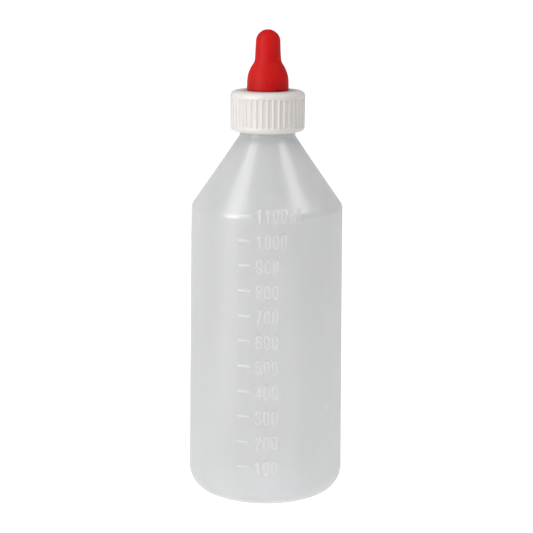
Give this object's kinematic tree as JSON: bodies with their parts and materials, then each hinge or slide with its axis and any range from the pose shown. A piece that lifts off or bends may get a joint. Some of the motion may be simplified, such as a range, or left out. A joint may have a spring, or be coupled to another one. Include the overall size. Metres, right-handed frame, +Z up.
{
  "type": "calf feeding bottle",
  "caption": "Translucent plastic feeding bottle with a raised millilitre scale, a ribbed screw cap and a rubber teat clamped under it, with a ball valve that lets air in as the animal drinks.",
  "frame": {"origin": "centre of the bottle's standing face", "axes": "+Z up along the bottle's axis towards the teat; -Y is the front, where the graduation is"},
  "size_m": [0.0944, 0.0946, 0.2825],
  "materials": {
    "bottle_plastic": "translucent natural polyethylene, satin",
    "cap_plastic": "opaque warm white polypropylene, satin",
    "teat_rubber": "soft red rubber, matt",
    "disc_plastic": "natural polypropylene, satin",
    "cage_plastic": "natural polypropylene, satin",
    "ball_steel": "ground stainless steel"
  },
  "bodies": {
    "bottle": {"bottle": "bottle_plastic"},
    "teat": {"teat": "teat_rubber", "valve_disc": "disc_plastic", "ball_cage": "cage_plastic"},
    "cap": {"screw_cap": "cap_plastic"},
    "ball": {"valve_ball": "ball_steel"}
  },
  "joints": [
    {"name": "closure_lift", "type": "slide", "parent": "bottle", "child": "teat", "axis": [0, 0, 1], "range_m": [0, 0.02001]},
    {"name": "cap_turn", "type": "hinge", "parent": "teat", "child": "cap", "pos_m": [0, 0, 0.23], "axis": [0, 0, 1], "range_deg": [0, 1440]},
    {"name": "ball_lift", "type": "slide", "parent": "teat", "child": "ball", "axis": [0, 0, 1], "range_m": [0, 0.00126]}
  ],
  "couplings": [
    {"joint": "closure_lift", "follows": "cap_turn", "m_per_rad": 0.00079577}
  ]
}
